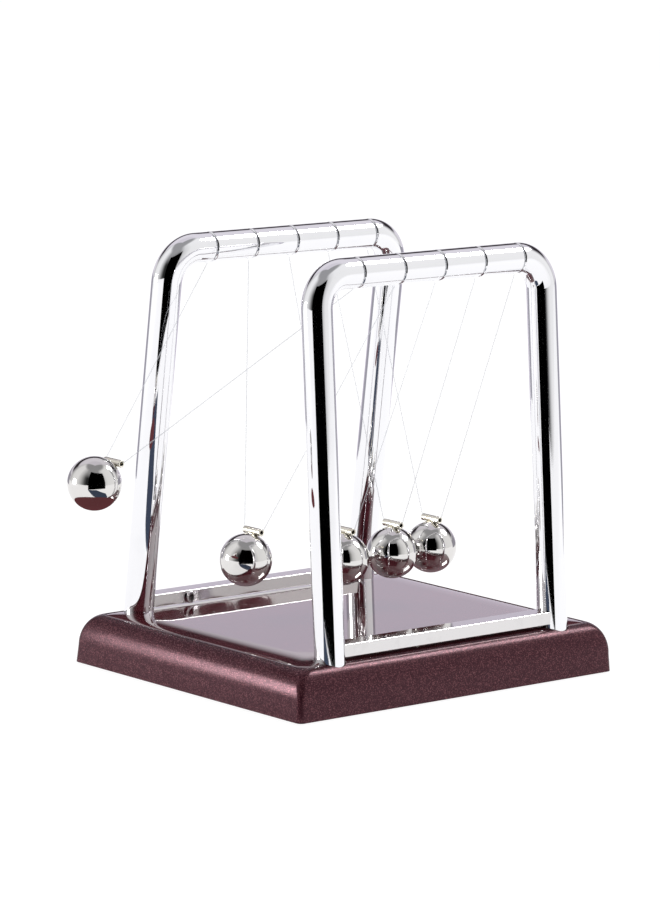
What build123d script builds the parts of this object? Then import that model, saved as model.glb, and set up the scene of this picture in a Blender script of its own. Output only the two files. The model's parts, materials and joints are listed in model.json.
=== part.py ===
from build123d import *

import math
import os

# A desk newton's cradle: five steel balls hung on V threads between two bent-tube frames.
#
# Millimetres, +Z up. The origin is the middle of the felt pad's underside, on the surface
# that it stands on. X runs along the two top bars, and Y from the front frame to the rear.

# Balls and their pendulums
BALL_COUNT = 5
BALL_D = 16.0
PITCH = 16.3  # groove to groove, 0.3 more than a ball
ROW_SHIFT = 2.4  # the row of grooves sits this far to +X of the frame's middle
PENDULUM = 89.8  # pivot line to ball centre
REST_DEG = (51.0, 17.5, 2.5, 0.0, 0.0)  # each ball's swing towards -X at rest

# Frames
TUBE_D = 9.3
TUBE_WALL = 1.0
LEG_X = 45.6
BAR_Y = 33.4
BAR_Z = 128.6
FOOT_Y = 44.45  # leg axis at FOOT_Z
FOOT_Z = 14.0
BEND_R = 10.0
GROOVE_W = 0.9
GROOVE_DEPTH = 0.45

# Base
BASE_X = 128.0
BASE_Y = 105.0
RIM_Z = 0.5  # lower rim, held this high by the felt pad
TOP_Z = 15.5
SIDE_DRAFT = 0.3
EDGE_RUN = 4.9  # the rounded top edge, inwards
EDGE_RISE = 9.5  # and upwards
LIP = 0.4
CAVITY_WALL = 3.2
DECK_TOP = 13.6
DECK_UNDER = 11.0
RECESS_R = 1.5

# Mirror plate
PLATE_TOP = 16.2
PLATE_GAP = 0.2
PLATE_EDGE_R = 0.8
LEG_GAP = 0.35

# Rails
RAIL_T = 6.0
RAIL_H = 4.0
RAIL_Z = 18.7
RAIL_EDGE_R = 0.3
RIVET_X = 27.9
RIVET_Z = 18.5
RIVET_R = 1.9
RIVET_BORE_R = 1.0
RIVET_SHANK_R = 1.3
RIVET_HEAD = 0.8
RIVET_SHANK = 3.0
RIVET_EDGE_R = 0.3

# Leg fastening, measured along each leg's own axis from the tube's end
TUBE_END_Z = 7.0
PLUG_LENGTH = 9.0
BOSS_R = 6.2
SEAT_T = 2.0
HEAD_POCKET_R = 3.3
WASHER_R = 3.1
WASHER_T = 0.5
SCREW_R = 1.5
SCREW_HEAD_R = 2.6
SCREW_HEAD_H = 1.5
SCREW_REACH = 6.0
SCREW_HOLE_R = 1.7

# Bottom plate, its screws and the felt pad
BOTTOM_T = 2.0
BOTTOM_GAP = 0.2
COVER_SCREW_XY = (55.0, 30.0)
COVER_BOSS_R = 3.5
COVER_SCREW_R = 1.25
COVER_HEAD_R = 2.5
COVER_HEAD_H = 1.2
COVER_REACH = 7.0
PAD_X = 98.0
PAD_Y = 88.0
PAD_T = 1.0
PAD_CORNER_R = 6.0

# Ballast
BALLAST_X = 96.0
BALLAST_Y = 66.0
BALLAST_T = 3.0
BALLAST_CORNER_R = 3.0
BALLAST_SCREW_X = 30.0
BALLAST_SCREW_REACH = 4.6
BALLAST_SCREW_TIP = DECK_UNDER - BALLAST_T + BALLAST_SCREW_REACH

# Hangers and threads
HANGER_D = 2.2
HANGER_BORE = 1.2
HANGER_LENGTH = 7.6
HANGER_RISE = 0.95  # hanger axis above the ball's top
NECK_R = 1.3
THREAD_D = 0.35
THREAD_START = 0.5  # the moving thread begins this far below its pivot
THREAD_LIFT = 0.3  # a taut thread rides this far above the hanger's axis
THREAD_CORNER = 0.3  # the thread turns this far outside the hanger's mouth
THREAD_BEND_R = 0.9
LOOP_GAP = 0.01

# Screw heads' cross slots
SLOT_W = 0.7
SLOT_DEPTH = 0.6
SLOT_SHARE = 0.65  # slot length as a share of the head

FAR = 300.0  # longer than anything here
BASE_REACH = 30.0  # longer than the base is high
OVERCUT = 1.0  # how far a cut or a joined piece runs past a face
SIDES = (-1, 1)

LEAN = math.atan2(FOOT_Y - BAR_Y, BAR_Z - FOOT_Z)
PIVOT_Z = BAR_Z - TUBE_D / 2
LEG_LENGTH = (BAR_Z - TUBE_END_Z) / math.cos(LEAN)


def groove_x(i):
    """X of groove i, counted from 0 at -X."""
    return (i - (BALL_COUNT - 1) / 2) * PITCH + ROW_SHIFT


def leg_y(z):
    """Distance of a leg's axis from the middle plane, at height z."""
    return BAR_Y + (BAR_Z - z) * math.tan(LEAN)


def save(name, *solids):
    """Write one node, a single solid or a group of separate ones."""
    shape = solids[0] if len(solids) == 1 else Compound(list(solids))
    export_step(shape, f"parts/{name}.step")


def frame_place(side):
    """The plane of a frame: origin at the bar's middle, Z up along the legs."""
    return Pos(0, side * BAR_Y, BAR_Z) * Rot(math.degrees(side * LEAN), 0, 0)


def leg_place(side_x, side_y):
    """A leg's own axis, with its origin at the tube's end and Z up along the leg."""
    return frame_place(side_y) * Pos(side_x * LEG_X, 0, -LEG_LENGTH)


def leg_rod(side_x, side_y, radius, low=-BASE_REACH, high=BASE_REACH):
    """A round rod on a leg's axis between two distances from the tube's end.

    Its seam is turned a quarter turn, away from the rail that meets the leg.
    """
    rod = Cylinder(radius, high - low, align=(Align.CENTER, Align.CENTER, Align.MIN))
    return leg_place(side_x, side_y) * Pos(0, 0, low) * Rot(0, 0, 90) * rod


def all_legs():
    return [(sx, sy) for sx in SIDES for sy in SIDES]


# ---------------------------------------------------------------- frames


def frame_tube(radius):
    """The bent line of one frame, carried round by a disc of the given radius."""
    path = FilletPolyline(
        (-LEG_X, 0, -LEG_LENGTH), (-LEG_X, 0, 0), (LEG_X, 0, 0), (LEG_X, 0, -LEG_LENGTH),
        radius=BEND_R,
    )
    return sweep(Plane(origin=path @ 0, z_dir=path % 0) * Circle(radius), path=path)


def groove_cut(i):
    ring = Cylinder(TUBE_D, GROOVE_W) - Cylinder(TUBE_D / 2 - GROOVE_DEPTH, GROOVE_W)
    return Pos(groove_x(i), 0, 0) * Rot(0, 90, 0) * ring


def frame(side):
    tube = frame_tube(TUBE_D / 2) - frame_tube(TUBE_D / 2 - TUBE_WALL)
    for i in range(BALL_COUNT):
        tube -= groove_cut(i)
    return frame_place(side) * tube


def thread_loops(side):
    """One thread loop in each groove of a bar."""
    ring = Torus(TUBE_D / 2 - GROOVE_DEPTH + THREAD_D / 2 + LOOP_GAP, THREAD_D / 2)
    spots = [Pos(groove_x(i), 0, 0) for i in range(BALL_COUNT)]
    return [frame_place(side) * spot * Rot(0, 90, 0) * ring for spot in spots]


def rail(side):
    """A rectangular bar between a frame's legs, its ends fitted to the tubes."""
    section = Plane.YZ * RectangleRounded(RAIL_T, RAIL_H, RAIL_EDGE_R)
    bar = Pos(0, side * leg_y(RAIL_Z), RAIL_Z) * extrude(section, LEG_X, both=True)
    for side_x in SIDES:
        bar -= leg_rod(side_x, side, TUBE_D / 2)
        bar -= Pos(side_x * RIVET_X, side * (leg_y(RAIL_Z) - RAIL_T / 2), RIVET_Z) * rivet_hole(side)
    return bar


def rivet_hole(side):
    hole = Cylinder(RIVET_SHANK_R, RIVET_SHANK, align=(Align.CENTER, Align.CENTER, Align.MIN))
    return Rot(-90 * side, 0, 0) * hole


def rivet(side):
    """A hollow rivet: a ring head on the rail's inner face and a shank in the rail."""
    head = Cylinder(RIVET_R, RIVET_HEAD, align=(Align.CENTER, Align.CENTER, Align.MAX))
    head = fillet(head.edges().group_by(Axis.Z)[0], RIVET_EDGE_R)
    shank = Cylinder(RIVET_SHANK_R, RIVET_SHANK, align=(Align.CENTER, Align.CENTER, Align.MIN))
    body = head + shank - Cylinder(RIVET_BORE_R, BASE_REACH)
    return Rot(-90 * side, 0, 0) * body


def rail_rivets(side):
    y = side * (leg_y(RAIL_Z) - RAIL_T / 2)
    return [Pos(side_x * RIVET_X, y, RIVET_Z) * rivet(side) for side_x in SIDES]


# ---------------------------------------------------------------- base


def edge_profile(width):
    """Half-round-topped outline of the base across one of its widths."""
    half = width / 2
    flank = half - SIDE_DRAFT
    shoulder_z = TOP_Z - EDGE_RISE
    right = EllipticalCenterArc((flank - EDGE_RUN, shoulder_z), EDGE_RUN, EDGE_RISE, arc_size=90)
    left = mirror(right, about=Plane.YZ)
    lines = Polyline((-flank, shoulder_z), (-half, RIM_Z), (half, RIM_Z), (flank, shoulder_z))
    top = Line((-(flank - EDGE_RUN), TOP_Z), (flank - EDGE_RUN, TOP_Z))
    return make_face(Curve() + [lines, right, top, left])


def base_body():
    """Two outlines carried across each other, so that the corners are mitred."""
    along_y = extrude(Plane.XZ * edge_profile(BASE_X), FAR, both=True)
    along_x = extrude(Plane.YZ * edge_profile(BASE_Y), FAR, both=True)
    return along_x & along_y


def rounded_slab(x, y, radius, low, high):
    return Pos(0, 0, low) * extrude(RectangleRounded(x, y, radius), high - low)


def top_opening(shrink):
    """Width and depth of the base's flat top, less a margin on every side."""
    inset = 2 * (SIDE_DRAFT + EDGE_RUN + shrink)
    return BASE_X - inset, BASE_Y - inset


def cover_points():
    x, y = COVER_SCREW_XY
    return [(sx * x, sy * y) for sx in SIDES for sy in SIDES]


def post(x, y, radius, low, high):
    rod = Cylinder(radius, high - low, align=(Align.CENTER, Align.CENTER, Align.MIN))
    return Pos(x, y, low) * rod


def base_shell():
    body = base_body()
    recess = rounded_slab(*top_opening(LIP), RECESS_R, DECK_TOP, TOP_Z + OVERCUT)
    cavity_size = (BASE_X - 2 * CAVITY_WALL, BASE_Y - 2 * CAVITY_WALL)
    cavity = rounded_slab(*cavity_size, RECESS_R, RIM_Z - OVERCUT, DECK_UNDER)
    shell = body - recess - cavity
    room = body & rounded_slab(BASE_X, BASE_Y, RECESS_R, RIM_Z + BOTTOM_T, DECK_TOP)
    for leg in all_legs():
        shell += leg_rod(*leg, BOSS_R) & room
    for x, y in cover_points():
        shell += post(x, y, COVER_BOSS_R, RIM_Z + BOTTOM_T, DECK_UNDER)
        shell -= post(x, y, COVER_SCREW_R, RIM_Z + BOTTOM_T, RIM_Z + COVER_HEAD_H + COVER_REACH)
    for leg in all_legs():
        shell -= leg_rod(*leg, TUBE_D / 2, low=0)
        shell -= leg_rod(*leg, SCREW_HOLE_R) & room
        shell -= leg_rod(*leg, HEAD_POCKET_R, high=-SEAT_T) & room
    for side in SIDES:
        shell -= post(side * BALLAST_SCREW_X, 0, SCREW_R, DECK_UNDER, BALLAST_SCREW_TIP)
    return shell


def mirror_plate():
    width, depth = top_opening(LIP + PLATE_GAP)
    plate = rounded_slab(width, depth, RECESS_R, DECK_TOP, PLATE_TOP)
    plate = fillet(plate.faces().sort_by(Axis.Z)[-1].edges(), PLATE_EDGE_R)
    for leg in all_legs():
        plate -= leg_rod(*leg, TUBE_D / 2 + LEG_GAP)
    return plate


def bottom_plate():
    margin = 2 * (CAVITY_WALL + BOTTOM_GAP)
    plate = rounded_slab(BASE_X - margin, BASE_Y - margin, RECESS_R, RIM_Z, RIM_Z + BOTTOM_T)
    for x, y in cover_points():
        plate -= post(x, y, COVER_SCREW_R, RIM_Z, RIM_Z + BOTTOM_T)
        plate -= post(x, y, COVER_HEAD_R, RIM_Z, RIM_Z + COVER_HEAD_H)
    return plate - felt_pad()


def felt_pad():
    """The sheet that the cradle stands on, half sunk in the bottom plate."""
    return rounded_slab(PAD_X, PAD_Y, PAD_CORNER_R, 0, PAD_T)


def screw(shank_r, head_r, head_h, reach):
    """A pan-head screw with a cross slot, its head below z = 0 and its shank above."""
    head = Cylinder(head_r, head_h, align=(Align.CENTER, Align.CENTER, Align.MAX))
    head = fillet(head.edges().group_by(Axis.Z)[0], head_h / 4)
    shank = Cylinder(shank_r, reach, align=(Align.CENTER, Align.CENTER, Align.MIN))
    body = head + shank
    slot = Box(SLOT_SHARE * 2 * head_r, SLOT_W, 2 * SLOT_DEPTH)
    for angle in (0, 90):
        body -= Pos(0, 0, -head_h) * Rot(0, 0, angle) * slot
    return body


def cover_screws():
    one = screw(COVER_SCREW_R, COVER_HEAD_R, COVER_HEAD_H, COVER_REACH)
    return [Pos(x, y, RIM_Z + COVER_HEAD_H) * one for x, y in cover_points()]


def leg_plugs():
    """Threaded plugs in the tube ends."""
    bore = TUBE_D / 2 - TUBE_WALL
    return [leg_rod(*leg, bore, 0, PLUG_LENGTH) - leg_rod(*leg, SCREW_R) for leg in all_legs()]


def leg_washers():
    low = -SEAT_T - WASHER_T
    return [leg_rod(*leg, WASHER_R, low, -SEAT_T) - leg_rod(*leg, SCREW_HOLE_R) for leg in all_legs()]


def leg_screws():
    below = SEAT_T + WASHER_T
    one = Pos(0, 0, -below) * screw(SCREW_R, SCREW_HEAD_R, SCREW_HEAD_H, below + SCREW_REACH)
    return [leg_place(*leg) * one for leg in all_legs()]


def ballast_plate():
    plate = rounded_slab(BALLAST_X, BALLAST_Y, BALLAST_CORNER_R, DECK_UNDER - BALLAST_T, DECK_UNDER)
    for side in SIDES:
        plate -= post(side * BALLAST_SCREW_X, 0, SCREW_HOLE_R, 0, DECK_UNDER)
    return plate


def ballast_screws():
    one = screw(SCREW_R, SCREW_HEAD_R, SCREW_HEAD_H, BALLAST_SCREW_REACH)
    return [Pos(side * BALLAST_SCREW_X, 0, DECK_UNDER - BALLAST_T) * one for side in SIDES]


# ---------------------------------------------------------------- pendulums


def swing_place(i):
    """Pendulum i at rest: origin on its pivot line, -Z towards the ball."""
    return Pos(groove_x(i), 0, PIVOT_Z) * Rot(0, REST_DEG[i], 0)


def hanger_drop():
    return PENDULUM - BALL_D / 2 - HANGER_RISE


def ball():
    return Pos(0, 0, -PENDULUM) * Sphere(BALL_D / 2)


def hanger():
    """A short tube across the ball's top, on a small neck that is welded to the ball."""
    tube = Rot(90, 0, 0) * Cylinder(HANGER_D / 2, HANGER_LENGTH)
    neck = Cylinder(NECK_R, HANGER_RISE + OVERCUT, align=(Align.CENTER, Align.CENTER, Align.MAX))
    bore = Rot(90, 0, 0) * Cylinder(HANGER_BORE / 2, HANGER_LENGTH)
    return Pos(0, 0, -hanger_drop()) * (tube + neck - bore) - ball()


def thread_corner():
    """The point outside the hanger's mouth where the thread turns up."""
    return HANGER_LENGTH / 2 + THREAD_CORNER, -hanger_drop() + THREAD_LIFT


def thread():
    """The V of one thread, from under one bar through the hanger to the other."""
    y, z = thread_corner()
    run = math.hypot(BAR_Y - y, z)
    near = THREAD_START / run
    top_y = BAR_Y + (y - BAR_Y) * near
    top_z = z * near
    path = FilletPolyline(
        (0, -top_y, top_z), (0, -y, z), (0, y, z), (0, top_y, top_z),
        radius=THREAD_BEND_R,
    )
    return sweep(Plane(origin=path @ 0, z_dir=path % 0) * Circle(THREAD_D / 2), path=path)


def thread_length():
    """Length of one thread between its two pivots, along its centre line."""
    y, z = thread_corner()
    run = math.hypot(BAR_Y - y, z)
    turn = math.pi / 2 - math.atan2(BAR_Y - y, -z)
    saved = THREAD_BEND_R * (2 * math.tan(turn / 2) - turn)
    return 2 * run + 2 * y - 2 * saved


def main():
    os.makedirs("parts", exist_ok=True)
    save("base_shell", base_shell())
    save("mirror_plate", mirror_plate())
    save("bottom_plate", bottom_plate())
    save("cover_screws", *cover_screws())
    save("felt_pad", felt_pad())
    save("ballast_plate", ballast_plate())
    save("ballast_screws", *ballast_screws())
    save("leg_plugs", *leg_plugs())
    save("leg_washers", *leg_washers())
    save("leg_screws", *leg_screws())
    for name, side in (("front", -1), ("rear", 1)):
        save(f"{name}_frame", frame(side))
        save(f"{name}_rail", rail(side))
        save(f"{name}_rail_rivets", *rail_rivets(side))
        save(f"{name}_thread_loops", *thread_loops(side))
    for i in range(BALL_COUNT):
        save(f"ball_{i + 1}", swing_place(i) * ball())
        save(f"hanger_{i + 1}", swing_place(i) * hanger())
        save(f"thread_{i + 1}", swing_place(i) * thread())
    print(f"thread length {thread_length():.2f}, bend radius {THREAD_BEND_R}")


main()
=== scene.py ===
"""The looks of a desk newton's cradle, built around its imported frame. Metres, Z up."""

import json
import logging
import math
from dataclasses import dataclass, field
from enum import Enum

import bpy
import numpy as np
from mathutils import Matrix


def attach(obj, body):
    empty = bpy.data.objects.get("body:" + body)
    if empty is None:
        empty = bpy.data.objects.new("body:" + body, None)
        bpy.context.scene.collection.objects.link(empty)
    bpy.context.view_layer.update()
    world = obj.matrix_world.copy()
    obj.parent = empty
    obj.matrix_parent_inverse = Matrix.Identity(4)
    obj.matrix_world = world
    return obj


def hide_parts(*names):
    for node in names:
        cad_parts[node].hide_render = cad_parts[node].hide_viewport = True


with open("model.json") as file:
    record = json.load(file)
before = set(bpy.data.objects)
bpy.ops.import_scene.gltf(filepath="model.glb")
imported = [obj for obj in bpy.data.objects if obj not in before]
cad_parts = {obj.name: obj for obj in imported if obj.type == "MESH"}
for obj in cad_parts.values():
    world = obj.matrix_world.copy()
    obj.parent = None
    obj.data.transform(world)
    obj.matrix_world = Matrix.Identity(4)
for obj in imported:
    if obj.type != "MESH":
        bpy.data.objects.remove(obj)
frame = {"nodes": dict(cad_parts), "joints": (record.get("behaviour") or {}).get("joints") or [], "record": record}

LOG = logging.getLogger("cradle")
MM = 0.001


class Side(Enum):
    """The two frames, by the sign of their Y."""

    FRONT = -1
    REAR = 1


# ---------------------------------------------------------------- meshes


@dataclass
class Shell:
    """Closed surfaces gathered into one mesh.

    Args:
        points: blocks of corner points, each of shape (count, 3).
        faces: every face as a list of corner numbers.
        count: how many corners there are so far.
    """

    points: list = field(default_factory=list)
    faces: list = field(default_factory=list)
    count: int = 0

    def add(self, grid: np.ndarray, loop: bool = False) -> None:
        """Take in a surface whose rows are closed rings.

        Corner (i, j) joins (i, j+1), (i+1, j+1) and (i+1, j), where j wraps round. Rows wrap
        round too when loop is true, and otherwise the first and last rings get a flat lid.
        Six times the enclosed volume is the sum over triangles of first . (second x third), and
        the faces are turned over if it is negative.

        Args:
            grid: points of shape (rows, columns, 3).
            loop: whether the last row joins the first.
        """
        rows, cols = grid.shape[:2]
        i, j = np.meshgrid(np.arange(rows if loop else rows - 1), np.arange(cols), indexing="ij")
        down, right = (i + 1) % rows, (j + 1) % cols
        quads = np.stack([i * cols + j, i * cols + right, down * cols + right, down * cols + j], -1)
        quads = quads.reshape(-1, 4)
        flat = grid.reshape(-1, 3)
        faces = quads.tolist()
        if not loop:
            faces += [np.arange(cols)[::-1].tolist(), (np.arange(cols) + (rows - 1) * cols).tolist()]
        a, b, c, d = (flat[quads[:, k]] - flat.mean(0) for k in range(4))
        volume = (a * np.cross(b, c)).sum() + (a * np.cross(c, d)).sum()
        if volume < 0:
            faces = [f[::-1] for f in faces]
        self.faces += [[k + self.count for k in f] for f in faces]
        self.points.append(flat)
        self.count += len(flat)

    def build(self, name: str, crease_deg: float = 40.0) -> bpy.types.Object:
        """Make the object, smooth except where faces meet at more than the crease angle.

        Args:
            name: the object's name.
            crease_deg: the crease angle, in degrees.

        Returns:
            The object, in the scene.
        """
        mesh = bpy.data.meshes.new(name)
        mesh.from_pydata(np.concatenate(self.points).tolist(), [], self.faces)
        mesh.validate()
        mesh.shade_smooth()
        mesh.set_sharp_from_angle(angle=math.radians(crease_deg))
        piece = bpy.data.objects.new(name, mesh)
        bpy.context.scene.collection.objects.link(piece)
        return piece


def rounded_ring(half_x: np.ndarray, half_y: np.ndarray, radius: np.ndarray,
                 arc: int = 14, straight: int = 6) -> np.ndarray:
    """Rounded rectangles, one for each entry.

    A corner point is the corner's centre plus radius times (cos, sin) of an angle that runs
    through a quarter turn, and the straight sides are shared out evenly between corners.

    Args:
        half_x: half widths.
        half_y: half depths.
        radius: corner radii.
        arc: points in each corner.
        straight: points on each side, between its corners.

    Returns:
        Points of shape (entries, columns, 2), in one turn from +X towards +Y.
    """
    half_x, half_y, radius = (np.asarray(v, float)[:, None] for v in (half_x, half_y, radius))
    share = np.arange(1, straight + 1) / (straight + 1)
    corners = []
    for k, (sx, sy) in enumerate(((1, 1), (-1, 1), (-1, -1), (1, -1))):
        turn = (k + np.linspace(0, 1, arc)) * math.pi / 2
        x = sx * (half_x - radius) + radius * np.cos(turn)
        y = sy * (half_y - radius) + radius * np.sin(turn)
        corners.append(np.stack([x, y], -1))
    pieces = []
    for k, corner in enumerate(corners):
        start, end = corner[:, -1:], corners[(k + 1) % 4][:, :1]
        pieces += [corner, start + (end - start) * share[None, :, None]]
    return np.concatenate(pieces, 1)


def turned(profile: np.ndarray, around: int = 72) -> np.ndarray:
    """A profile turned about Z, each point going to (r cos a, r sin a, h).

    Args:
        profile: pairs of radius and height.
        around: steps round the turn.

    Returns:
        Points of shape (profile, around, 3).
    """
    turn = full_turn(around)
    r, h = profile[:, :1], profile[:, 1:]
    return np.stack([r * np.cos(turn), r * np.sin(turn), h + 0 * turn], -1)


def rounded_loop(low: float, high: float, near: float, far: float, edge: float) -> np.ndarray:
    """The section of a tube's wall: a rectangle whose four corners are arcs.

    Args:
        low: the height of its foot.
        high: the height of its top.
        near: the inner radius.
        far: the outer radius.
        edge: the radius of its corners.

    Returns:
        Pairs of radius and height, in one turn.
    """
    ring = rounded_ring([(far - near) / 2], [(high - low) / 2], [edge], arc=6, straight=4)[0]
    return ring + np.array([(near + far) / 2, (low + high) / 2])


def arc_steps(count: int) -> np.ndarray:
    """That many angles of a quarter turn, evenly spaced from 0."""
    return np.linspace(0, math.pi / 2, count)


def full_turn(count: int) -> np.ndarray:
    """That many angles of a whole turn, evenly spaced from 0."""
    return np.linspace(0, 2 * math.pi, count, endpoint=False)


def at_heights(flat: np.ndarray, height: np.ndarray) -> np.ndarray:
    """Level rings, each lifted to its own height.

    Args:
        flat: points of shape (rings, around, 2).
        height: one height for each ring.

    Returns:
        Points of shape (rings, around, 3).
    """
    lift = np.broadcast_to(height[:, None, None], (*flat.shape[:2], 1))
    return np.concatenate([flat, lift], -1)


# ---------------------------------------------------------------- shading


@dataclass
class Nodes:
    """A node tree being wired."""

    tree: bpy.types.NodeTree

    def new(self, kind: str, **settings: object) -> bpy.types.Node:
        """Add a node.

        Args:
            kind: the node's type.
            settings: properties of the node.

        Returns:
            The node.
        """
        node = self.tree.nodes.new(kind)
        for key, value in settings.items():
            setattr(node, key, value)
        return node

    def link(self, source: bpy.types.NodeSocket, target: bpy.types.NodeSocket) -> None:
        """Join one socket to another.

        Args:
            source: the output.
            target: the input.
        """
        self.tree.links.new(source, target)

    def math(self, kind: str, a: object, b: object = 0.0, clamp: bool = False) -> bpy.types.NodeSocket:
        """A Math node of two values, each a number or a socket.

        Args:
            kind: the operation's name.
            a: the first value.
            b: the second value.
            clamp: whether the answer is kept between 0 and 1.

        Returns:
            The node's output.
        """
        node = self.new("ShaderNodeMath", operation=kind, use_clamp=clamp)
        for socket, value in zip(node.inputs, (a, b)):
            if isinstance(value, bpy.types.NodeSocket):
                self.link(value, socket)
            else:
                socket.default_value = value
        return node.outputs[0]

    def span(self, value: bpy.types.NodeSocket, low: float, high: float,
             to_low: float = 0.0, to_high: float = 1.0) -> bpy.types.NodeSocket:
        """A smooth step that takes low..high to to_low..to_high.

        Args:
            value: the value to map.
            low: where the step starts.
            high: where it ends.
            to_low: the answer at and before its start.
            to_high: the answer at and after its end.

        Returns:
            The mapped value.
        """
        node = self.new("ShaderNodeMapRange", interpolation_type="SMOOTHSTEP")
        self.link(value, node.inputs["Value"])
        limits = {"From Min": low, "From Max": high, "To Min": to_low, "To Max": to_high}
        for name, number in limits.items():
            node.inputs[name].default_value = number
        return node.outputs["Result"]

    def mix(self, share: object, a: object, b: object) -> bpy.types.NodeSocket:
        """A colour mix; a and b are colours or sockets.

        Args:
            share: how much of b there is, a number or a socket.
            a: the colour at a share of 0.
            b: the colour at a share of 1.

        Returns:
            The mixed colour.
        """
        node = self.new("ShaderNodeMix", data_type="RGBA")
        for socket, value in ((node.inputs["Factor"], share), (node.inputs[6], a), (node.inputs[7], b)):
            if isinstance(value, bpy.types.NodeSocket):
                self.link(value, socket)
            else:
                socket.default_value = value if isinstance(value, float) else (*value, 1.0)
        return node.outputs[2]


def noise_group(name: str, detail: float, sharp: bool) -> bpy.types.NodeTree:
    """A group that turns a place into a speck mask, a soft mask and a height.

    Specks are one random value per Voronoi cell; the soft mask is fractal noise.

    Args:
        name: the group's name.
        detail: octaves of the soft noise.
        sharp: whether the height follows the specks, or else the noise.

    Returns:
        The group, with inputs Place, Specks per metre and Cloud per metre.
    """
    tree = bpy.data.node_groups.new(name, "ShaderNodeTree")
    tree.interface.new_socket("Place", in_out="INPUT", socket_type="NodeSocketVector")
    tree.interface.new_socket("Specks per metre", in_out="INPUT", socket_type="NodeSocketFloat")
    tree.interface.new_socket("Cloud per metre", in_out="INPUT", socket_type="NodeSocketFloat")
    for out in ("Speck", "Cloud", "Height"):
        tree.interface.new_socket(out, in_out="OUTPUT", socket_type="NodeSocketFloat")
    wire = Nodes(tree)
    start, end = wire.new("NodeGroupInput"), wire.new("NodeGroupOutput")
    cells = wire.new("ShaderNodeTexVoronoi", feature="F1")
    cloud = wire.new("ShaderNodeTexNoise")
    cloud.inputs["Detail"].default_value = detail
    parts = wire.new("ShaderNodeSeparateColor")
    wire.link(start.outputs["Place"], cells.inputs["Vector"])
    wire.link(start.outputs["Place"], cloud.inputs["Vector"])
    wire.link(start.outputs["Specks per metre"], cells.inputs["Scale"])
    wire.link(start.outputs["Cloud per metre"], cloud.inputs["Scale"])
    wire.link(cells.outputs["Color"], parts.inputs[0])
    wire.link(parts.outputs[0], end.inputs["Speck"])
    wire.link(cloud.outputs["Fac"], end.inputs["Cloud"])
    wire.link(parts.outputs[1] if sharp else cloud.outputs["Fac"], end.inputs["Height"])
    return tree


# The soft noise values between which roughness rises from its smoothest to its roughest.
CLOUD_LOW, CLOUD_HIGH = 0.3, 0.7
# The soft noise value at which a worn place shows its whole colour.
WORN_AT = 0.8


class Pattern(Enum):
    """The shared surface patterns: name, octaves, and whether the height follows the specks."""

    FLAKE = ("flake_specks", 2.0, True)
    WEAR = ("fine_wear", 6.0, False)


class Patterns:
    """Builds each shared pattern once."""

    made: dict = {}

    @classmethod
    def get(cls, pattern: Pattern) -> bpy.types.NodeTree:
        """The node group of a pattern, built when it is first asked for.

        Args:
            pattern: the pattern.

        Returns:
            Its node group.
        """
        if pattern not in cls.made:
            cls.made[pattern] = noise_group(*pattern.value)
        return cls.made[pattern]


@dataclass(frozen=True)
class Finish:
    """A surface finish: two colours broken up by a pattern, with gloss and bump.

    Args:
        name: the material's name, and the record's slot.
        color: the ground colour.
        fleck: the colour of specks or worn places.
        metallic: how metallic the surface is.
        roughness: roughness at its smoothest and roughest places.
        pattern: which pattern breaks it up.
        specks: specks per metre.
        cloud: soft noise cells per metre.
        fleck_from: the speck or noise value above which the fleck colour shows.
        bump: bump height in metres.
        ior: index of refraction.
        coat: weight of a clear coat.
        coat_ior: the coat's index of refraction.
        coat_roughness: the coat's roughness.
        sheen: weight of a cloth sheen.
        alpha: opacity.
    """

    name: str
    color: tuple
    fleck: tuple
    metallic: float = 0.0
    roughness: tuple = (0.3, 0.5)
    pattern: Pattern = Pattern.WEAR
    specks: float = 900.0
    cloud: float = 60.0
    fleck_from: float = 0.5
    bump: float = 0.0
    ior: float = 1.5
    coat: float = 0.0
    coat_ior: float = 1.5
    coat_roughness: float = 0.05
    sheen: float = 0.0
    alpha: float = 1.0

    def make(self) -> bpy.types.Material:
        """Wire the finish as a material.

        Returns:
            The material.
        """
        material = bpy.data.materials.new(self.name)
        material.use_nodes = True
        wire = Nodes(material.node_tree)
        shader = material.node_tree.nodes["Principled BSDF"]
        group = wire.new("ShaderNodeGroup", node_tree=Patterns.get(self.pattern))
        group.inputs["Specks per metre"].default_value = self.specks
        group.inputs["Cloud per metre"].default_value = self.cloud
        wire.link(wire.new("ShaderNodeTexCoord").outputs["Object"], group.inputs["Place"])
        share = wire.span(group.outputs["Speck"], self.fleck_from, 1.0)
        if self.pattern is Pattern.WEAR:
            share = wire.span(group.outputs["Cloud"], self.fleck_from, WORN_AT)
        wire.link(wire.mix(share, self.color, self.fleck), shader.inputs["Base Color"])
        rough = wire.span(group.outputs["Cloud"], CLOUD_LOW, CLOUD_HIGH, *self.roughness)
        wire.link(rough, shader.inputs["Roughness"])
        if self.bump:
            bump = wire.new("ShaderNodeBump")
            bump.inputs["Distance"].default_value = self.bump
            wire.link(group.outputs["Height"], bump.inputs["Height"])
            wire.link(bump.outputs["Normal"], shader.inputs["Normal"])
        plain = {"Metallic": self.metallic, "IOR": self.ior, "Coat Weight": self.coat,
                 "Coat IOR": self.coat_ior, "Coat Roughness": self.coat_roughness,
                 "Sheen Weight": self.sheen, "Alpha": self.alpha}
        for socket, value in plain.items():
            shader.inputs[socket].default_value = value
        return material


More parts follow.
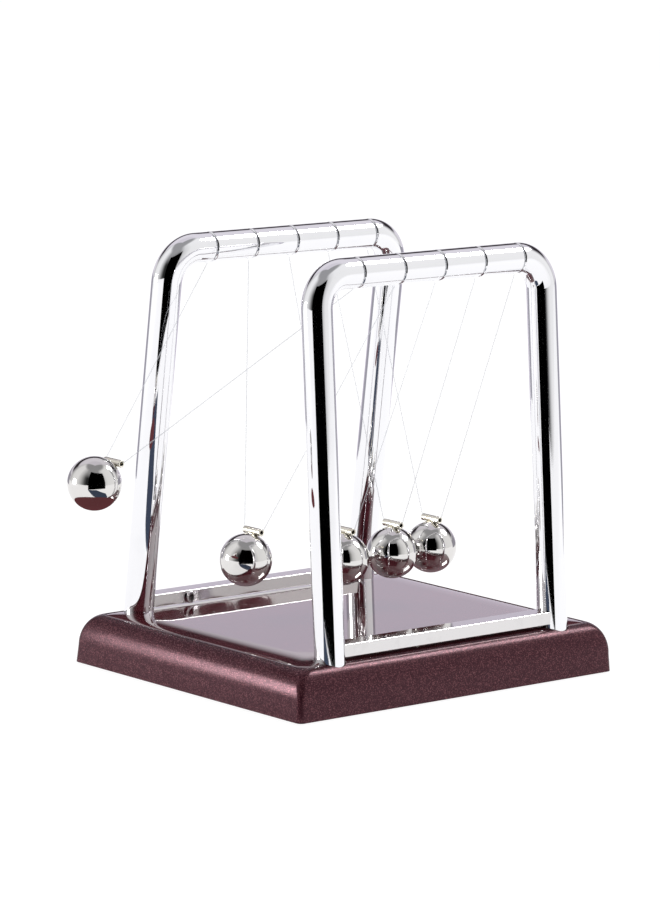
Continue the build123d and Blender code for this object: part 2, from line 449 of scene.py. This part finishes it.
FINISHES = (
    Finish("plum_paint", (0.046, 0.0085, 0.0160), (0.180, 0.064, 0.076), metallic=0.36,
           roughness=(0.22, 0.26), pattern=Pattern.FLAKE, specks=4800.0, cloud=25.0, fleck_from=0.68,
           bump=0.00004, ior=1.31),
    Finish("mirror_top", (0.105, 0.024, 0.032), (0.125, 0.030, 0.040), roughness=(0.02, 0.03),
           cloud=40.0, ior=1.6, coat=1.0, coat_ior=1.8, coat_roughness=0.01),
    Finish("chrome_tube", (0.88, 0.88, 0.90), (0.84, 0.84, 0.865), metallic=1.0, roughness=(0.03, 0.05)),
    Finish("chrome_rail", (0.71, 0.695, 0.695), (0.66, 0.645, 0.645), metallic=1.0,
           roughness=(0.05, 0.09), cloud=220.0),
    Finish("polished_ball", (0.735, 0.72, 0.705), (0.67, 0.655, 0.64), metallic=1.0,
           roughness=(0.04, 0.075), cloud=140.0),
    Finish("hanger_metal", (0.80, 0.77, 0.68), (0.62, 0.55, 0.40), metallic=1.0,
           roughness=(0.14, 0.28), cloud=500.0),
    Finish("clear_thread", (0.72, 0.735, 0.77), (0.64, 0.655, 0.70), roughness=(0.15, 0.25),
           cloud=300.0, alpha=0.3),
    Finish("black_plastic", (0.022, 0.020, 0.021), (0.034, 0.032, 0.033), roughness=(0.5, 0.62),
           cloud=900.0, bump=0.00005),
    Finish("black_felt", (0.022, 0.022, 0.026), (0.055, 0.055, 0.062), roughness=(0.9, 1.0),
           cloud=2600.0, fleck_from=0.45, bump=0.0003, sheen=0.6),
    Finish("zinc_steel", (0.60, 0.61, 0.64), (0.50, 0.50, 0.50), metallic=1.0,
           roughness=(0.25, 0.4), cloud=350.0),
    Finish("raw_steel", (0.42, 0.42, 0.43), (0.30, 0.29, 0.28), metallic=1.0,
           roughness=(0.4, 0.6), cloud=120.0),
)


class Paintbox:
    """Every finish as a material, made once."""

    def __init__(self) -> None:
        """Make the materials."""
        self.materials = {finish.name: finish.make() for finish in FINISHES}

    def dress(self, piece: bpy.types.Object, slot: str) -> None:
        """Give a new piece one finish.

        Args:
            piece: the piece.
            slot: the finish's name.
        """
        piece.data.materials.clear()
        piece.data.materials.append(self.materials[slot])

    def dress_nodes(self) -> None:
        """Give every CAD node the finish of its slot."""
        for part in frame["record"]["subparts"]:
            for place in frame["nodes"][part["node"]].material_slots:
                place.material = self.materials[part["material_slot"]]


# ---------------------------------------------------------------- pieces


@dataclass
class Base:
    """The painted base and the plate on its top. Lengths in millimetres.

    The paint's outline, as (inset, height), is a drafted side, a quarter ellipse and a narrow
    lip. Seen from above its corners are rounded, more widely at the top than at the bottom.
    """

    width: float = 128.0
    depth: float = 105.0
    rim_z: float = 0.5
    top_z: float = 15.5
    draft: float = 0.3
    edge_run: float = 4.9
    edge_rise: float = 9.5
    lip: float = 0.4
    wall: float = 3.2
    floor_z: float = 2.55
    deck_z: float = 13.6
    inner_inset: float = 9.0
    low_corner: float = 1.7
    high_corner: float = 4.2
    corner_power: float = 0.8
    edge_steps: int = 28
    foot_in: float = 0.25
    foot_rise: float = 0.3
    foot_mid_in: float = 0.02
    foot_mid_rise: float = 0.08
    lip_cut: float = 0.1
    hole_r: float = 4.85
    hole_from: float = -3.0
    hole_to: float = 30.0
    hole_around: int = 48
    crease_deg: float = 50.0
    plate_top: float = 16.2
    plate_gap: float = 0.15
    plate_roll: float = 11.0
    plate_drop: float = 1.05
    plate_power: float = 2.6
    plate_corner: float = 2.6
    plate_inner_corner: float = 0.8
    plate_steps: int = 40

    def paint_ring(self) -> np.ndarray:
        """The base's closed outline carried round the rounded rectangle.

        Returns:
            Points of shape (outline, around, 3), in metres.
        """
        turn = arc_steps(self.edge_steps)
        lip_inset = self.draft + self.edge_run + self.lip
        side = np.array([[self.foot_in, self.rim_z], [self.foot_mid_in, self.rim_z + self.foot_mid_rise],
                         [0.0, self.rim_z + self.foot_rise]])
        edge = np.stack([self.draft + self.edge_run * (1 - np.cos(turn)),
                         self.top_z - self.edge_rise + self.edge_rise * np.sin(turn)], -1)
        inside = np.array([
            [lip_inset - self.lip_cut, self.top_z], [lip_inset, self.top_z - self.lip_cut],
            [lip_inset, self.deck_z],
            [self.inner_inset, self.deck_z], [self.inner_inset, self.floor_z],
            [self.wall, self.floor_z], [self.wall, self.rim_z],
        ])
        outline = np.concatenate([side, edge, inside])
        inset, z = outline.T
        soft = np.clip(inset / (self.draft + self.edge_run), 0, 1) ** self.corner_power
        corner = self.low_corner + (self.high_corner - self.low_corner) * soft
        flat = rounded_ring(self.width / 2 - inset, self.depth / 2 - inset, corner)
        return at_heights(flat, z) * MM

    def paint(self) -> bpy.types.Object:
        """The painted moulding, with a hole for each leg cut through its lip.

        Returns:
            The moulding.
        """
        shell = Shell()
        shell.add(self.paint_ring(), loop=True)
        piece = shell.build("painted_base", self.crease_deg)
        holes = Shell()
        for leg in LEGS:
            line = leg.axis(np.array([self.hole_from, self.hole_to]) * MM)
            holes.add(tube_grid(line, leg.across(), np.full(2, self.hole_r * MM), self.hole_around))
        cutter = holes.build("leg_holes")
        cut = piece.modifiers.new("holes", "BOOLEAN")
        cut.operation, cut.solver, cut.object = "DIFFERENCE", "EXACT", cutter
        graph = bpy.context.evaluated_depsgraph_get()
        piece.data = bpy.data.meshes.new_from_object(piece.evaluated_get(graph))
        piece.modifiers.clear()
        bpy.data.objects.remove(cutter)
        piece.data.set_sharp_from_angle(angle=math.radians(self.crease_deg))
        return piece

    def plate(self) -> bpy.types.Object:
        """The glossy plate, flat inside and rolling over to its edge.

        Over the roll its height falls by drop x (1 - (1 - t^power)^(1/2)), where t runs from 0
        at the flat to 1 at the edge.

        Returns:
            The plate.
        """
        t = np.sin(arc_steps(self.plate_steps))
        both = 2 * (self.draft + self.edge_run + self.lip + self.plate_gap)
        fall = self.plate_drop * (1 - np.sqrt(np.clip(1 - t ** self.plate_power, 0, 1)))
        inset = np.append(self.plate_roll * (1 - t), [0.0, self.plate_roll])
        z = np.append(self.plate_top - fall, [self.deck_z, self.deck_z])
        widening = self.plate_corner - self.plate_inner_corner
        corner = self.plate_inner_corner + widening * (1 - inset / self.plate_roll)
        flat = rounded_ring((self.width - both) / 2 - inset, (self.depth - both) / 2 - inset, corner)
        shell = Shell()
        shell.add(at_heights(flat, z) * MM)
        return shell.build("glossy_plate", crease_deg=60.0)


@dataclass
class Tube:
    """The bent tube of one frame. Lengths in millimetres."""

    side: Side
    diameter: float = 9.3
    leg_x: float = 45.6
    bar_y: float = 33.4
    bar_z: float = 128.6
    foot_y: float = 44.45
    foot_z: float = 14.0
    end_z: float = 7.0
    bend_r: float = 10.0
    groove_half: float = 0.62
    groove_depth: float = 0.45
    groove_reach: float = 1.3
    groove_steps: int = 19
    leg_steps: int = 8
    bend_steps: int = 28
    around: int = 80

    def lean(self) -> float:
        """The frame's lean from upright, in radians."""
        return math.atan2(self.foot_y - self.bar_y, self.bar_z - self.foot_z)

    def up(self) -> np.ndarray:
        """The direction up along the legs."""
        return np.array([0, -self.side.value * math.sin(self.lean()), math.cos(self.lean())])

    def bar(self) -> np.ndarray:
        """The middle of the bar."""
        return np.array([0, self.side.value * self.bar_y, self.bar_z])

    def line(self) -> tuple:
        """The tube's centre line: leg, quarter bend, bar, quarter bend, leg.

        Returns:
            Positions along X and up the frame from the bar, and each point's heading from +X.
        """
        length = (self.bar_z - self.end_z) / math.cos(self.lean())
        turn = arc_steps(self.bend_steps)
        straight = np.linspace(-length, -self.bend_r, self.leg_steps)
        inner = self.leg_x - self.bend_r
        bend_x = inner + self.bend_r * np.cos(turn)
        bend_z = -self.bend_r + self.bend_r * np.sin(turn)
        reach = self.groove_half * np.linspace(-self.groove_reach, self.groove_reach, self.groove_steps)
        bar_x = (np.array(GROOVES)[:, None] / MM + reach).ravel()
        level, upright = 0 * bar_x, 0 * straight
        x = np.concatenate([upright - self.leg_x, -bend_x[1:], bar_x,
                            bend_x[::-1][:-1], upright + self.leg_x])
        z = np.concatenate([straight, bend_z[1:], level, bend_z[::-1][:-1], straight[::-1]])
        rise = math.pi / 2 - turn
        heading = np.concatenate([upright + rise[0], rise[1:], level,
                                  -rise[::-1][:-1], upright - rise[0]])
        return x, z, heading

    def radius(self, x: np.ndarray, z: np.ndarray) -> np.ndarray:
        """The tube's radius, less the dip of a groove: depth x (1 + cos(pi x off / half)) / 2.

        Args:
            x: positions along X.
            z: positions up the frame from the bar.

        Returns:
            A radius for each position.
        """
        off = np.abs(x[:, None] - np.array(GROOVES) / MM).min(1) / self.groove_half
        dip = np.where((off < 1) & (np.abs(z) < 0.01), (1 + np.cos(math.pi * np.clip(off, 0, 1))) / 2, 0)
        return self.diameter / 2 - self.groove_depth * dip

    def build(self, name: str) -> bpy.types.Object:
        """A ring about each point of the line: centre + radius (cos a . normal + sin a . across).

        Args:
            name: the tube's name.

        Returns:
            The tube.
        """
        x, z, heading = self.line()
        across = np.cross([1, 0, 0], self.up())
        centre = self.bar() + x[:, None] * np.array([1, 0, 0]) + z[:, None] * self.up()
        normal = -np.sin(heading)[:, None] * np.array([1, 0, 0]) + np.cos(heading)[:, None] * self.up()
        turn = full_turn(self.around)[None, :, None]
        r = self.radius(x, z)[:, None, None]
        shell = Shell()
        shell.add((centre[:, None] + r * (np.cos(turn) * normal[:, None] + np.sin(turn) * across)) * MM)
        return shell.build(name, crease_deg=60.0)


@dataclass(frozen=True)
class Leg:
    """One leg's axis, from the tube's end upwards."""

    tube: Tube
    side_x: int

    def axis(self, along: np.ndarray) -> np.ndarray:
        """Points on the axis.

        Args:
            along: their distances up from the tube's end, in metres.

        Returns:
            The points, in metres.
        """
        tube = self.tube
        length = (tube.bar_z - tube.end_z) / math.cos(tube.lean())
        foot = tube.bar() + np.array([self.side_x * tube.leg_x, 0, 0]) - length * tube.up()
        return foot * MM + along[:, None] * tube.up()

    def across(self) -> tuple:
        """Two directions square to the axis."""
        return np.array([1.0, 0, 0]), np.cross(self.tube.up(), [1.0, 0, 0])


def tube_grid(line: np.ndarray, across: tuple, radius: np.ndarray, around: int) -> np.ndarray:
    """Rings about a straight line: centre + radius (cos a . first + sin a . second).

    Args:
        line: points on the line.
        across: two directions square to it.
        radius: a radius for each point.
        around: points in each ring.

    Returns:
        Points of shape (line, around, 3).
    """
    turn = full_turn(around)[None, :, None]
    ring = np.cos(turn) * across[0] + np.sin(turn) * across[1]
    return line[:, None] + radius[:, None, None] * ring


@dataclass
class Pendulum:
    """One ball with its hanger and thread, at rest. Lengths in millimetres.

    Args:
        number: which ball it is, from 1 at -X.
        swing_deg: how far it is swung towards -X, in degrees.
        pivot: the middle of its pivot line, in metres.
    """

    number: int
    swing_deg: float
    pivot: np.ndarray
    length: float = 89.8
    ball_d: float = 16.0
    ball_rings: int = 96
    ball_around: int = 128
    bead_r: float = 1.5
    bead_width: float = 0.55
    bead_h: float = 0.22
    hanger_rise: float = 0.95
    hanger_d: float = 2.2
    hanger_bore: float = 1.2
    hanger_length: float = 7.6
    hanger_edge: float = 0.14
    hanger_around: int = 48
    neck_r: float = 1.3
    neck_steps: int = 12
    neck_around: int = 40
    neck_taper: float = 0.2
    neck_flare: float = 0.12
    neck_sink: float = 0.3
    neck_gap: float = 0.08
    bar_y: float = 33.4
    thread_d: float = 0.35
    thread_length: float = 179.3
    thread_start: float = 0.5
    thread_stop: float = 6.0
    thread_lift: float = 0.3
    thread_corner: float = 0.3

    def place(self, local: np.ndarray) -> np.ndarray:
        """Points from the hanging frame, in millimetres, to metres at rest.

        The frame turns by the swing about Y: x' = x cos s + z sin s, z' = z cos s - x sin s.

        Args:
            local: points with their origin on the pivot line.

        Returns:
            Points in metres.
        """
        swing = math.radians(self.swing_deg)
        cos, sin = math.cos(swing), math.sin(swing)
        x, y, z = np.moveaxis(local, -1, 0)
        return self.pivot + MM * np.stack([x * cos + z * sin, y, z * cos - x * sin], -1)

    def ball(self) -> bpy.types.Object:
        """A polished ball with a low weld bead round its top.

        The bead adds height x exp(-((off - bead radius) / bead width)^2) to the ball's radius,
        where off is the distance from the ball's upright axis.

        Returns:
            The ball.
        """
        up = np.linspace(-math.pi / 2, math.pi / 2, self.ball_rings + 2)[1:-1]
        off = np.cos(up) * self.ball_d / 2
        bump = np.where(up > 0, np.exp(-((off - self.bead_r) / self.bead_width) ** 2), 0)
        r = self.ball_d / 2 + self.bead_h * bump
        grid = turned(np.stack([r * np.cos(up), r * np.sin(up) - self.length], -1), self.ball_around)
        shell = Shell()
        shell.add(self.place(grid))
        return shell.build(f"steel_ball_{self.number}", crease_deg=80.0)

    def drop(self) -> float:
        """How far the hanger's axis hangs below the pivot."""
        return self.length - self.ball_d / 2 - self.hanger_rise

    def hanger(self) -> bpy.types.Object:
        """A short tube across the ball's top, on a waisted neck.

        The neck's radius is that of its waist x (1 + flare x (2t - 1)^2) - taper x t, where t
        runs from 0 inside the ball to 1 inside the tube's wall.

        Returns:
            The hanger.
        """
        shell = Shell()
        loop = rounded_loop(-self.hanger_length / 2, self.hanger_length / 2,
                            self.hanger_bore / 2, self.hanger_d / 2, self.hanger_edge)
        tube = turned(loop, self.hanger_around)[..., [0, 2, 1]] - np.array([0, 0, self.drop()])
        shell.add(self.place(tube), loop=True)
        t = np.linspace(0, 1, self.neck_steps)
        low = -self.length + self.ball_d / 2 - self.neck_sink
        high = -self.drop() - self.hanger_bore / 2 - self.neck_gap
        waist = self.neck_r * (1 + self.neck_flare * (2 * t - 1) ** 2) - self.neck_taper * t
        neck = turned(np.stack([waist, low + (high - low) * t], -1), self.neck_around)
        shell.add(self.place(neck))
        return shell.build(f"hanger_tube_{self.number}", crease_deg=50.0)

    def route(self) -> list:
        """The thread's route, from under the front bar, through the hanger, to the rear bar.

        Each straight run starts a little under its bar and stops a few thread diameters before
        the tube's end, where the thread bends.

        Returns:
            Points in the hanging frame, as (x, y, z).
        """
        y, z = self.hanger_length / 2 + self.thread_corner, -self.drop() + self.thread_lift
        run = math.hypot(self.bar_y - y, z)
        near, late = self.thread_start / run, 1 - self.thread_stop * self.thread_d / run
        ends = [(y + (self.bar_y - y) * (1 - share), z * share) for share in (near, 0.5, late)]
        half = [(0, -out, height) for out, height in ends] + [(0, -y, z)]
        return half + [(0, -out, height) for _, out, height in half[::-1]]

    def thread(self) -> bpy.types.Object:
        """The thread as a smooth round curve.

        Returns:
            The thread.
        """
        points = self.place(np.array(self.route(), float))
        curve = bpy.data.curves.new(f"thread_line_{self.number}", "CURVE")
        curve.dimensions = "3D"
        spline = curve.splines.new("NURBS")
        spline.points.add(len(points) - 1)
        spline.points.foreach_set("co", np.c_[points, np.ones(len(points))].ravel())
        spline.order_u = 3
        spline.use_endpoint_u = True
        spline.resolution_u = 12
        curve.bevel_depth = self.thread_d * MM / 2
        curve.bevel_resolution = 3
        piece = bpy.data.objects.new(f"thread_line_{self.number}", curve)
        bpy.context.scene.collection.objects.link(piece)
        tuple(points[0])
        return piece


# ---------------------------------------------------------------- studio


@dataclass(frozen=True)
class Lamp:
    """A soft square lamp that faces the object: place and width in metres, power in watts."""

    name: str
    at: tuple
    width: float
    power: float

    def light(self) -> None:
        """Put the lamp in the scene."""
        data = bpy.data.lights.new(self.name, "AREA")
        data.size = self.width
        data.energy = self.power
        lamp = bpy.data.objects.new(self.name, data)
        bpy.context.scene.collection.objects.link(lamp)
        lamp.location = self.at
        lamp.rotation_euler = (-lamp.location).to_track_quat("-Z", "Y").to_euler()


LAMPS = (
    Lamp("back_left", (-0.80, 0.66, 0.125), width=0.25, power=5.2),
    Lamp("right", (0.99, -0.33, 1.08), width=0.42, power=11.0),
)


@dataclass
class Sky:
    """The world's brightness, by bearing from the camera and by height above the horizon.

    Levels are (bearing in degrees, brightness), and a height is the Z of a direction of length
    1. High up the levels are lifted towards white, overhead they are capped with grey, and at
    the back they are tinted and crossed by a dark band. The camera itself sees plain white.
    """

    levels: tuple = ((-180, 0.62), (-122, 0.55), (-108, 0.90), (-80, 0.95), (-62, 0.60),
                     (-42, 0.10), (-33, 0.02), (26, 0.02), (33, 0.25), (45, 0.66),
                     (62, 0.90), (112, 0.97), (124, 0.58), (180, 0.62))
    lift_heights: tuple = (0.45, 0.85)
    lift_share: float = 0.35
    lift_color: tuple = (0.95, 0.95, 0.97)
    cap_heights: tuple = (0.84, 0.93)
    cap_color: tuple = (0.34, 0.34, 0.35)
    back_bearings: tuple = (118, 135)
    back_share: float = 0.75
    back_color: tuple = (0.82, 0.78, 0.86)
    band_foot: tuple = (0.20, 0.31)
    band_head: tuple = (0.50, 0.60)
    band_color: tuple = (0.03, 0.025, 0.03)
    seen_color: tuple = (1.0, 1.0, 1.0)

    def build(self, bearing: float) -> None:
        """Make the world.

        Args:
            bearing: the angle from +X to the camera's side, in radians.
        """
        world = bpy.data.worlds.new("studio")
        world.use_nodes = True
        bpy.context.scene.world = world
        wire = Nodes(world.node_tree)
        turn = wire.new("ShaderNodeVectorRotate", rotation_type="Z_AXIS")
        turn.inputs["Angle"].default_value = -bearing
        wire.link(wire.new("ShaderNodeTexCoord").outputs["Generated"], turn.inputs["Vector"])
        split = wire.new("ShaderNodeSeparateXYZ")
        wire.link(turn.outputs["Vector"], split.inputs[0])
        angle = wire.math("ARCTAN2", split.outputs["Y"], split.outputs["X"])
        height = split.outputs["Z"]
        ramp = wire.new("ShaderNodeValToRGB")
        wire.link(wire.math("ADD", wire.math("DIVIDE", angle, 2 * math.pi), 0.5), ramp.inputs[0])
        marks = ramp.color_ramp.elements
        # A new ramp has two marks already.
        for _ in self.levels[2:]:
            marks.new(0.5)
        for mark, (degrees, level) in zip(marks, self.levels):
            mark.position = degrees / 360 + 0.5
            mark.color = (level, level, level, 1)
        back = wire.span(wire.math("ABSOLUTE", angle), *map(math.radians, self.back_bearings))
        lift = wire.span(height, *self.lift_heights, 0.0, self.lift_share)
        lifted = wire.mix(lift, ramp.outputs[0], self.lift_color)
        capped = wire.mix(wire.span(height, *self.cap_heights), lifted, self.cap_color)
        tinted = wire.mix(wire.math("MULTIPLY", back, self.back_share), capped, self.back_color)
        band = wire.math("SUBTRACT", wire.span(height, *self.band_foot), wire.span(height, *self.band_head))
        banded = wire.mix(wire.math("MULTIPLY", back, band), tinted, self.band_color)
        camera_ray = wire.new("ShaderNodeLightPath").outputs["Is Camera Ray"]
        ground = world.node_tree.nodes["Background"]
        wire.link(wire.mix(camera_ray, banded, self.seen_color), ground.inputs["Color"])


@dataclass
class Studio:
    """Floor, light and camera. Metres and degrees.

    The camera looks along an azimuth, measured from +Y towards +X, and down by its elevation.
    Light comes from the sky, from the floor, from cards near the object and from two lamps.

    The near patch's corners are (distance to the camera's right, distance towards it).
    """

    azimuth: float = 41.873
    elevation: float = 9.708
    roll: float = 1.580
    camera_at: tuple = (-0.97406, -1.07752, 0.3163)
    lens: float = 193.18
    floor_r: float = 14.0
    floor_around: int = 96
    floor_color: tuple = (0.16, 0.16, 0.165, 1)
    floor_glow: float = 0.94
    wall_steps: int = 24
    near_reach: float = 0.32
    near_top: float = 0.42
    back_reach: float = 0.42
    back_top: float = 0.118
    patch_corners: tuple = ((-0.170, 0.274), (-0.030, 0.274), (0.020, 0.135), (-0.004, 0.088),
                            (-0.022, 0.088), (-0.075, 0.135))
    patch_z: float = 0.0006
    disc_r: float = 0.017
    disc_x: float = -0.100
    disc_z: float = 0.0534
    disc_around: int = 32

    def camera(self) -> None:
        """Aim the camera along (sin a cos e, cos a cos e, -sin e), rolled about that line."""
        az, el, roll = (math.radians(v) for v in (self.azimuth, self.elevation, self.roll))
        ahead = np.array([math.sin(az) * math.cos(el), math.cos(az) * math.cos(el), -math.sin(el)])
        right = np.array([math.cos(az), -math.sin(az), 0])
        up = np.cross(right, ahead)
        x = right * math.cos(roll) + up * math.sin(roll)
        y = up * math.cos(roll) - right * math.sin(roll)
        turn = np.eye(4)
        turn[:3, 0], turn[:3, 1], turn[:3, 2], turn[:3, 3] = x, y, -ahead, self.camera_at
        data = bpy.data.cameras.new("camera")
        data.lens = self.lens
        camera = bpy.data.objects.new("camera", data)
        bpy.context.scene.collection.objects.link(camera)
        camera.matrix_world = Matrix(turn.tolist())
        bpy.context.scene.camera = camera

    def toward_camera(self) -> np.ndarray:
        """The level direction from the object to the camera."""
        az = math.radians(self.azimuth)
        return np.array([-math.sin(az), -math.cos(az), 0])

    def bearing(self) -> float:
        """The angle from +X to the camera's side, in radians."""
        return math.atan2(self.toward_camera()[1], self.toward_camera()[0])

    def card(self, name: str, points: np.ndarray, faces: list, material: bpy.types.Material) -> None:
        """A studio card that only reflections see.

        Args:
            name: the card's name.
            points: its corners.
            faces: its faces, each a list of corner numbers.
            material: what it is made of.
        """
        mesh = bpy.data.meshes.new(name)
        mesh.from_pydata(points.tolist(), [], faces)
        card = bpy.data.objects.new(name, mesh)
        bpy.context.scene.collection.objects.link(card)
        mesh.materials.append(material)
        card.visible_camera = False
        card.visible_shadow = False
        card.visible_diffuse = False
        card.visible_transmission = False

    def glow(self, name: str, color: tuple, strength: float) -> bpy.types.Material:
        """A plain emitting material for a card.

        Args:
            name: the material's name.
            color: its colour.
            strength: its brightness.

        Returns:
            The material.
        """
        material = bpy.data.materials.new(name)
        material.use_nodes = True
        shader = material.node_tree.nodes["Principled BSDF"]
        shader.inputs["Base Color"].default_value = (0, 0, 0, 1)
        shader.inputs["Specular IOR Level"].default_value = 0.0
        shader.inputs["Roughness"].default_value = 1.0
        shader.inputs["Emission Color"].default_value = (*color, 1)
        shader.inputs["Emission Strength"].default_value = strength
        return material

    def floor(self) -> None:
        """A white floor under the object, lit mostly from itself so that shadows stay faint."""
        turn = full_turn(self.floor_around)
        points = np.stack([self.floor_r * np.cos(turn), self.floor_r * np.sin(turn), 0 * turn], -1)
        mesh = bpy.data.meshes.new("floor")
        mesh.from_pydata(points.tolist(), [], [list(range(len(points)))])
        floor = bpy.data.objects.new("floor", mesh)
        bpy.context.scene.collection.objects.link(floor)
        material = self.glow("floor_white", (1.0, 1.0, 1.0), self.floor_glow)
        shader = material.node_tree.nodes["Principled BSDF"]
        shader.inputs["Base Color"].default_value = self.floor_color
        mesh.materials.append(material)

    def wall(self, name: str, bearings: tuple, reach: float, high: float,
             material: bpy.types.Material) -> None:
        """An upright curved card that stands on the floor round the object.

        Args:
            name: the card's name.
            bearings: where it starts and ends, in degrees from the camera's side.
            reach: its distance from the object's middle.
            high: the height of its top.
            material: what it is made of.
        """
        turn = self.bearing() + np.radians(np.linspace(*bearings, self.wall_steps))
        round_it = np.stack([np.cos(turn), np.sin(turn)], -1) * reach
        foot = np.c_[round_it, np.zeros(len(turn))]
        head = np.c_[round_it, np.full(len(turn), high)]
        n = np.arange(len(turn) - 1)
        faces = np.stack([n, n + 1, n + 1 + len(turn), n + len(turn)], -1)
        self.card(name, np.concatenate([foot, head]), faces.tolist(), material)

    def cards(self) -> None:
        """The cards: a dark wall on the camera's side, a low lavender wall behind with a grey one
        on each side of it, a dark blue patch on the floor before the object, and a plum disc
        under the raised ball.
        """
        black = self.glow("card_black", (0, 0, 0), 0.0)
        lavender = self.glow("card_lavender", (0.66, 0.61, 0.71), 1.0)
        grey = self.glow("card_grey", (0.36, 0.35, 0.40), 1.0)
        blue = self.glow("card_blue", (0.050, 0.064, 0.100), 1.0)
        plum = self.glow("card_plum", (0.13, 0.040, 0.045), 1.0)
        self.wall("camera_side_card", (-31, 31), self.near_reach, self.near_top, black)
        self.wall("back_card", (148, 212), self.back_reach, self.back_top, lavender)
        self.wall("back_left_card", (212, 244), self.back_reach, self.back_top, grey)
        self.wall("back_right_card", (116, 148), self.back_reach, self.back_top, grey)
        toward = self.toward_camera()
        right = np.array([-toward[1], toward[0], 0])
        spots = np.array(self.patch_corners)
        patch = spots[:, :1] * right + spots[:, 1:] * toward + np.array([0, 0, self.patch_z])
        self.card("near_floor_card", patch, [list(range(len(patch)))], blue)
        turn = full_turn(self.disc_around)
        disc = np.stack([self.disc_r * np.cos(turn) + self.disc_x, self.disc_r * np.sin(turn),
                         0 * turn + self.disc_z], -1)
        self.card("ball_side_card", disc, [list(range(len(disc)))], plum)

    def build(self) -> None:
        """Set up the whole studio."""
        bpy.context.scene.view_settings.view_transform = "Standard"
        self.camera()
        self.floor()
        self.cards()
        Sky().build(self.bearing())
        for lamp in LAMPS:
            lamp.light()


# ---------------------------------------------------------------- the cradle

# The X of each groove, in metres, from -X to +X.
GROOVES = sorted(joint["pos_m"][0] for joint in frame["joints"])
# How far each ball is swung towards -X at rest, in degrees.
SWINGS = (51.0, 17.5, 2.5, 0.0, 0.0)
TUBES = [Tube(side) for side in Side]
LEGS = [Leg(tube, side_x) for tube in TUBES for side_x in (-1, 1)]


def show(piece: bpy.types.Object, body: str, *nodes: str) -> None:
    """Make a finished piece ride on a body and stand for CAD nodes, and report it.

    Args:
        piece: the piece.
        body: the body it rides on.
        nodes: the CAD nodes it replaces.
    """
    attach(piece, body)
    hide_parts(*nodes)
    LOG.info("%s rides on %s for %s", piece.name, body, ", ".join(nodes))


def main() -> None:
    """Build the studio and then the cradle, piece by piece."""
    logging.basicConfig(level=logging.INFO, format="%(message)s")
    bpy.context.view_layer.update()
    Studio().build()
    paints = Paintbox()
    paints.dress_nodes()
    base = Base()
    for piece, slot, node in ((base.paint(), "plum_paint", "base_shell"),
                              (base.plate(), "mirror_top", "mirror_plate")):
        paints.dress(piece, slot)
        show(piece, "root", node)
    for tube in TUBES:
        name = tube.side.name.lower()
        piece = tube.build(f"{name}_chrome_tube")
        paints.dress(piece, "chrome_tube")
        show(piece, "root", f"{name}_frame")
    pivot_z = frame["joints"][0]["pos_m"][2]
    for k, (x, swing) in enumerate(zip(GROOVES, SWINGS), 1):
        pendulum = Pendulum(k, swing, np.array([x, 0, pivot_z]))
        for piece, slot, node in ((pendulum.ball(), "polished_ball", f"ball_{k}"),
                                  (pendulum.hanger(), "hanger_metal", f"hanger_{k}"),
                                  (pendulum.thread(), "clear_thread", f"thread_{k}")):
            paints.dress(piece, slot)
            show(piece, f"pendulum_{k}", node)


if __name__ == "__main__":
    main()
